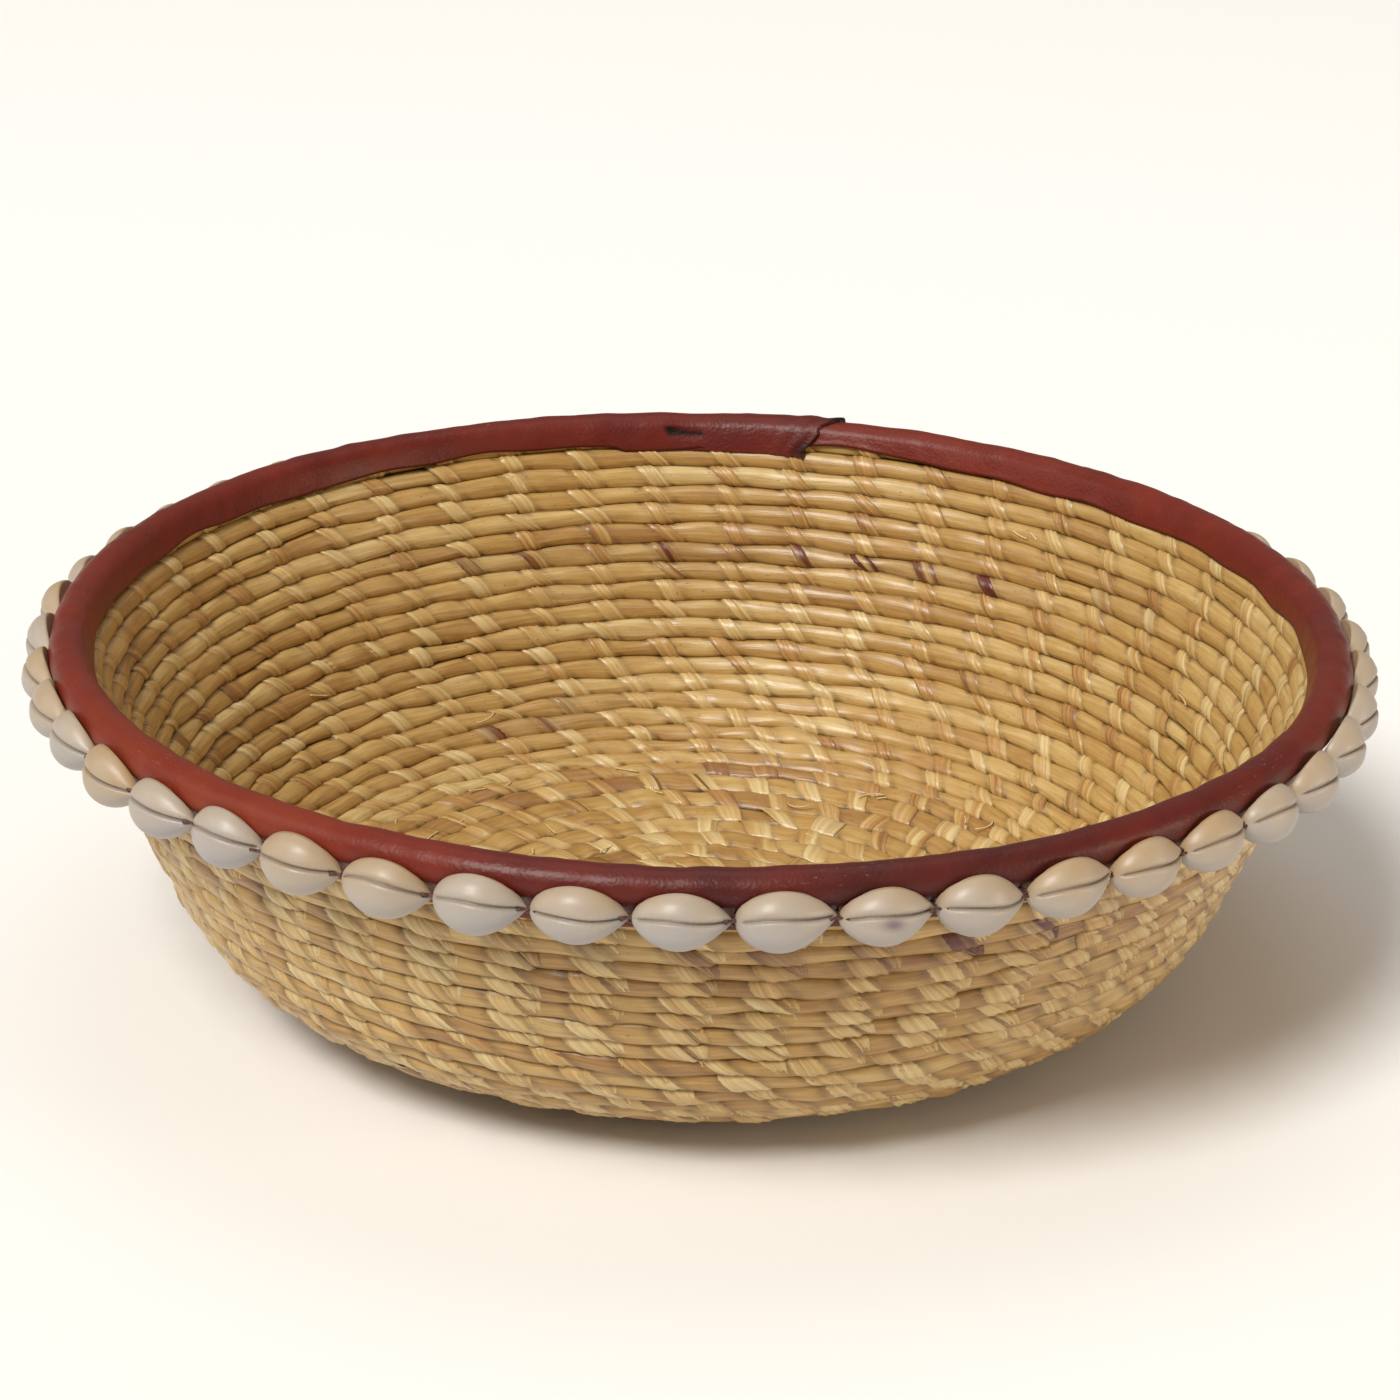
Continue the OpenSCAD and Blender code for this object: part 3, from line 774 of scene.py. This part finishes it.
# Shells differ in length: where one ends and the next starts strays from even steps
SHELL_EDGES = seeded(61).uniform(-0.55, 0.55, COWRIES)
# Two shells, half a turn apart, are yellower, and one near the front has a violet spot
YELLOW_SHELLS = (5, 28)
VIOLET_SHELL = 2


def cowrie(number, material):
    """One shell. Its radius about the long axis is a sine pushed toward the blunt end;
    the belly is a little flat, the back is ground off to a plane, and along the mouth run
    two rounded lips with teeth across them and a deep slit between."""
    rng = np.random.default_rng(SEED * 100 + number)
    lengthways, around_n = 66, 44
    u = (1 - np.cos(np.linspace(0, math.pi, lengthways))) / 2
    u = (0.35 * np.linspace(0, 1, lengthways) + 0.65 * u)[:, None]
    ring = np.linspace(-1, 1, around_n, endpoint=False)[None, :] + 1 / around_n
    turn = np.sign(ring) * np.abs(ring) ** 1.75 * math.pi
    before, after = SHELL_EDGES[number - 1], SHELL_EDGES[number]
    length = SHELL_STEP + after - before - SHELL_GAP
    half = COWRIE_W / 2 * rng.uniform(0.93, 1.02)
    # the left end is blunt and the right end pointed
    shape = np.sin(math.pi * u ** rng.uniform(0.82, 0.92)) ** (rng.uniform(0.56, 0.66) + 0.24 * u)
    radius = half * shape
    arc = turn * np.maximum(radius, 0.05)
    bow = rng.uniform(-0.5, 0.9) * np.sin(math.pi * u) + 0.35 * np.sin(2 * math.pi * u)
    off = arc - bow
    open_part = smooth(u, 0.01, 0.10) * smooth(1 - u, 0.01, 0.08)
    slit = bump(off, 0.45) * 0.9 * open_part
    lips = 0.14 * bump(np.abs(off) - 1.3, 0.9) * open_part
    row = 2 * math.pi * u * length / TOOTH_STEP
    teeth = 0.035 * np.cos(row) * bump(np.abs(off) - 0.8, 0.6) * open_part
    flat = 0.11 * radius * bump(turn, 0.55)
    radius = radius - flat + lips + teeth - np.minimum(slit, radius * 0.6)
    tilt = COWRIE_TILT + math.radians(rng.normal(0, 3.5))
    out = radius * np.cos(turn + tilt)
    up = radius * np.sin(turn + tilt)
    along = (u - 0.5) * length + 0 * out
    # ground back: whatever stands behind the plane is laid on it
    back_way = np.array([math.sin(WALL_SLOPE), -math.cos(WALL_SLOPE)])
    behind = np.minimum(out * back_way[0] + up * back_way[1] + COWRIE_DEPTH, 0)
    out = out - behind * back_way[0]
    up = up - behind * back_way[1]
    # a little rolled and swung, as sewn by hand
    swing = math.radians(rng.normal(0, 1.6))
    along, up = (along * math.cos(swing) - up * math.sin(swing),
                 along * math.sin(swing) + up * math.cos(swing))
    theta = FIRST_SHELL + (number * SHELL_STEP + (before + after) / 2) / RING_R
    ring_r = RING_R + rng.normal(0, 0.15)
    height = RING_H + rng.normal(0, 0.25)
    points = np.stack([(ring_r + out) * math.sin(theta) + along * math.cos(theta),
                       -(ring_r + out) * math.cos(theta) + along * math.sin(theta),
                       height + up], axis=-1)
    # painted light: the upper side is painted warmer and lit, the lower side bluer and shaded; the
    # rest is each shell's own tint
    tint_and_painted_light = np.clip(rng.normal(0.40, 0.10), 0.1, 0.7) + 0.30 * np.sin(turn) + 0.15 * (behind < 0)
    if number in YELLOW_SHELLS:
        tint_and_painted_light = tint_and_painted_light + 0.3
    # painted shade in the slit and between the teeth; the ground back is also drawn darker
    mouth = bump(off, 0.42) * open_part * rng.uniform(0.6, 0.85) * (0.7 + 0.3 * u)
    gaps = 0.07 * smooth(-np.cos(row), 0.1, 1.0)
    mouth = mouth + gaps * bump(np.abs(off) - 0.8, 0.5) * open_part
    mouth = np.clip(mouth + 0.10 * (behind < -0.8), 0, 1)
    violet = 0 * mouth
    if number == VIOLET_SHELL:
        violet = 0.8 * bump(along + 0.3, 2.4) * bump(off + 2.0, 1.4)
    marks = np.stack([tint_and_painted_light + 0 * mouth, mouth, violet], axis=-1)
    uv = np.stack([along, arc + 0 * along], axis=-1)
    faces = grid_faces(lengthways, around_n, True)
    caps = [np.arange(around_n)[::-1], (lengthways - 1) * around_n + np.arange(around_n)]
    name = f"cowrie_{number + 1:02d}"
    return make_piece(name + "_shell", points, faces, uv, marks, material, caps), name


# ---------------------------------------------------------------- thread

def tubes(name, paths, radius, material):
    """Round tubes of one thickness along many paths of equal length, all in one mesh. The
    ring at each point stands square to the way from its neighbour before to the next."""
    paths = np.asarray(paths, dtype=float)
    count, lines, sides = *paths.shape[:2], 8
    way = np.gradient(paths, axis=1)
    way /= np.linalg.norm(way, axis=2, keepdims=True)
    side = np.cross(way, np.array([0.13, 0.21, 1.0]))
    side /= np.linalg.norm(side, axis=2, keepdims=True)
    other = np.cross(way, side)
    turn = np.linspace(0, 2 * math.pi, sides, endpoint=False)
    points = (paths[:, :, None, :] + radius * (np.cos(turn)[:, None] * side[:, :, None, :]
                                               + np.sin(turn)[:, None] * other[:, :, None, :]))
    steps = np.linalg.norm(np.diff(paths, axis=1), axis=2)
    length = np.concatenate([np.zeros((count, 1)), np.cumsum(steps, axis=1)], axis=1)
    uv = np.stack(np.broadcast_arrays(length[:, :, None], turn[None, None, :] * radius), axis=-1)
    marks = np.zeros((count, lines, sides, 3))
    faces = grid_faces(lines, sides, True, count)
    first = np.arange(count) * lines * sides
    last = first + (lines - 1) * sides
    caps = [n + np.arange(sides)[::-1] for n in first] + [n + np.arange(sides) for n in last]
    return make_piece(name, points, faces, uv, marks, material, caps)


def shell_thread(material):
    """Two loops of thread in each gap: one that comes out of the leather between two
    shells, and one that runs from one shell's mouth over the gap into the next."""
    rng = seeded(21)
    k = np.arange(COWRIES)[:, None]
    theta = FIRST_SHELL + ((k + 0.5) * SHELL_STEP + SHELL_EDGES[:, None]) / RING_R
    t = np.linspace(-1, 1, 9)[None, :]
    along = 2.0 * t
    out = 0.9 + 1.3 * t ** 2 + rng.normal(0, 0.15, (COWRIES, 1))
    up = out * math.tan(COWRIE_TILT) + rng.normal(0, 0.25, (COWRIES, 1)) * (1 - t ** 2)
    bridge = polar(RING_R + out, theta + along / RING_R, RING_H + up)
    foot = RIM_R - (RIM_H - RING_H) / math.tan(WALL_SLOPE) + (FLAP_OUT + 0.5) / math.sin(WALL_SLOPE)
    reach = np.linspace(0, 1, 9)[None, :]
    rad = foot + (RING_R + 0.6 - foot) * reach + 0 * theta
    stem = polar(rad, theta + 0.004 * np.sin(reach * 3), RING_H + 0.5 * reach)
    stem_low = polar(rad, theta - 0.006 * np.sin(reach * 3), RING_H - 3.2 * (1 - reach))
    return tubes("sewing_thread", np.concatenate([bridge, stem, stem_low]), 0.36, material)


def loose_end(material):
    """A short end of black thread that sticks out under the leather at the back."""
    t = np.linspace(0, 1, 12)
    radius = RIM_R - ROLL_R * 0.9 - 1.2 * np.sin(t * 2.6)
    theta = math.radians(157.5) + 0.030 * t
    path = polar(radius, theta, RIM_H - 3.8 - 2.6 * t ** 2)
    return tubes("loose_thread_end", [path], 0.36, material)


def frayed_fibres(material):
    """Loose fibre ends on the inside, more of them on the floor. Each rises from the face
    of the coil along a bent line, as far as the square of the way along it."""
    rng = seeded(41)
    count, on_floor = 110, 90
    s = np.where(np.arange(count) < on_floor, rng.uniform(14, DISH_END + 6, count),
                 rng.uniform(DISH_END, WALL_END - 10, count))[:, None]
    theta = rng.uniform(0, 2 * math.pi, (count, 1))
    reach = rng.uniform(2.5, 7.5, (count, 1)) * np.linspace(0, 1, 7)[None, :]
    heading = rng.normal(0, 0.6, (count, 1)) + rng.normal(0, 0.05, (count, 1)) * reach
    way = np.where(rng.uniform(size=(count, 1)) < 0.5, -1, 1)
    radius, height, slope = middle_line(s + reach * np.sin(heading))
    lift = COIL_T / 2 + 0.15 + rng.uniform(0.0, 0.025, (count, 1)) * reach ** 2
    theta = theta + way * reach * np.cos(heading) / np.maximum(radius, 10)
    paths = polar(radius - lift * np.sin(slope), theta, height + lift * np.cos(slope))
    return tubes("frayed_fibres", paths, 0.2, material)


# ---------------------------------------------------------------- camera and light

def camera():
    """A long lens from the front, a little above the bowl, rolled by about a degree."""
    distance, lift, dip, roll = 1000.0, math.radians(21.05), math.radians(22.06), math.radians(1.2)
    lens = bpy.data.cameras.new("camera")
    lens.sensor_width = 36
    lens.lens = 105.9
    eye = bpy.data.objects.new("camera", lens)
    bpy.context.collection.objects.link(eye)
    where = Matrix.Translation((0, -distance * math.cos(lift) * MM,
                                (RIM_H + distance * math.sin(lift)) * MM))
    aim = Matrix.Rotation(math.pi / 2 - dip, 4, "X")
    eye.matrix_world = where @ aim @ Matrix.Rotation(roll, 4, "Z")
    bpy.context.scene.camera = eye


def softbox(name, azimuth, elevation, distance, size, power, tint):
    """A square area light that faces the bowl from an azimuth counted from the front toward
    the right and an elevation, in degrees."""
    light = bpy.data.lights.new(name, "AREA")
    light.size = size
    light.energy = power
    light.color = linear(tint)[:3]
    lamp = bpy.data.objects.new(name, light)
    bpy.context.collection.objects.link(lamp)
    a, e = math.radians(azimuth), math.radians(elevation)
    turn = Matrix.Rotation(a, 4, "Z") @ Matrix.Rotation(math.pi / 2 - e, 4, "X")
    spot = (math.sin(a) * math.cos(e) * distance, -math.cos(a) * math.cos(e) * distance,
            math.sin(e) * distance + 0.05)
    lamp.matrix_world = Matrix.Translation(spot) @ turn


def studio():
    """A pale floor, an even pale surround, a soft key light from the front left and three
    softboxes."""
    reach, under = 3, -0.0004
    key_round, key_up = -32, 50
    mesh = bpy.data.meshes.new("studio_floor")
    mesh.from_pydata([(-reach, -reach, under), (reach, -reach, under), (reach, reach, under),
                      (-reach, reach, under)], [], [(0, 1, 2, 3)])
    mesh.materials.append(floor_material())
    board = bpy.data.objects.new("studio_floor", mesh)
    bpy.context.collection.objects.link(board)
    world = bpy.data.worlds.new("studio")
    world.use_nodes = True
    world.node_tree.nodes["Background"].inputs["Color"].default_value = linear("#FFF8EE")
    world.node_tree.nodes["Background"].inputs["Strength"].default_value = 0.26
    bpy.context.scene.world = world
    sun = bpy.data.lights.new("key_light", "SUN")
    sun.energy = 2.9
    sun.angle = math.radians(22)
    sun.color = linear("#FFFDF8")[:3]
    key = bpy.data.objects.new("key_light", sun)
    key.matrix_world = (Matrix.Rotation(math.radians(key_round), 4, "Z")
                        @ Matrix.Rotation(math.radians(90 - key_up), 4, "X"))
    bpy.context.collection.objects.link(key)
    softbox("left_softbox", -85, 30, 2.2, 1.2, 6, "#FFFFFF")
    softbox("right_softbox", 72, 9, 1.7, 0.45, 7, "#FFEACC")
    softbox("top_softbox", 180, 75, 1.8, 1.2, 5, "#FFFFFF")
    bpy.context.scene.view_settings.view_transform = "Standard"


# ---------------------------------------------------------------- the bowl

def build():
    """Makes every piece and sets it on the frame."""
    coil_straw = straw_material("leaf_straw_bundle", [(0.0, "#CDB27A"), (0.35, "#BC995B"),
                                                      (0.65, "#AB8347"), (1.0, "#8E643A")], 0.37)
    splint = straw_material("leaf_splint", [(0.0, "#D8BF88"), (0.35, "#C8A465"),
                                            (0.7, "#B28449"), (1.0, "#8C5F36")], 0.34)
    leather = leather_material()
    shell = cowrie_material()
    thread = thread_material()

    dish_turns, shoulder_turns = np.interp([DISH_END, SHOULDER_END], fine_s, fine_turns)
    wall_middle = (shoulder_turns + TURNS) / 2
    place(coil_piece("floor_turns", 0, dish_turns, coil_straw), "straw_coil", "floor_coil")
    place(centre_knot(coil_straw), "straw_coil", "centre_knot")
    for name, first, last, node in (
            ("shoulder_turns", dish_turns, shoulder_turns, "shoulder_coil"),
            ("wall_turns_lower", shoulder_turns, wall_middle, "wall_coil"),
            ("wall_turns_upper", wall_middle, TURNS, "wall_coil")):
        place(coil_piece(name, first, last, coil_straw), "straw_coil", node)

    every = np.arange(2, STITCHES - 1)
    place(strip_piece("inner_stitches", every, inside_path(), STITCH_IN_W, 0.42, stitch_tone,
                      stitch_dye, splint, SEED + 2), "leaf_splint", "inner_splints")
    place(strip_piece("outer_stitches", every, outside_path(), STITCH_OUT_W, 0.46,
                      0.55 * stitch_tone, outer_dye, splint, SEED + 3),
          "leaf_splint", "outer_splints")

    place(binding(leather), "red_leather", "leather_binding", "rim_coil")
    place(lap(leather), "red_leather", "leather_lap")
    place(shell_thread(thread), "waxed_thread", "shell_thread")
    place(loose_end(thread), "waxed_thread")
    place(frayed_fibres(splint), "leaf_splint")
    for number in range(COWRIES):
        piece, node = cowrie(number, shell)
        place(piece, "cowrie_shell", node)


camera()
studio()
build()
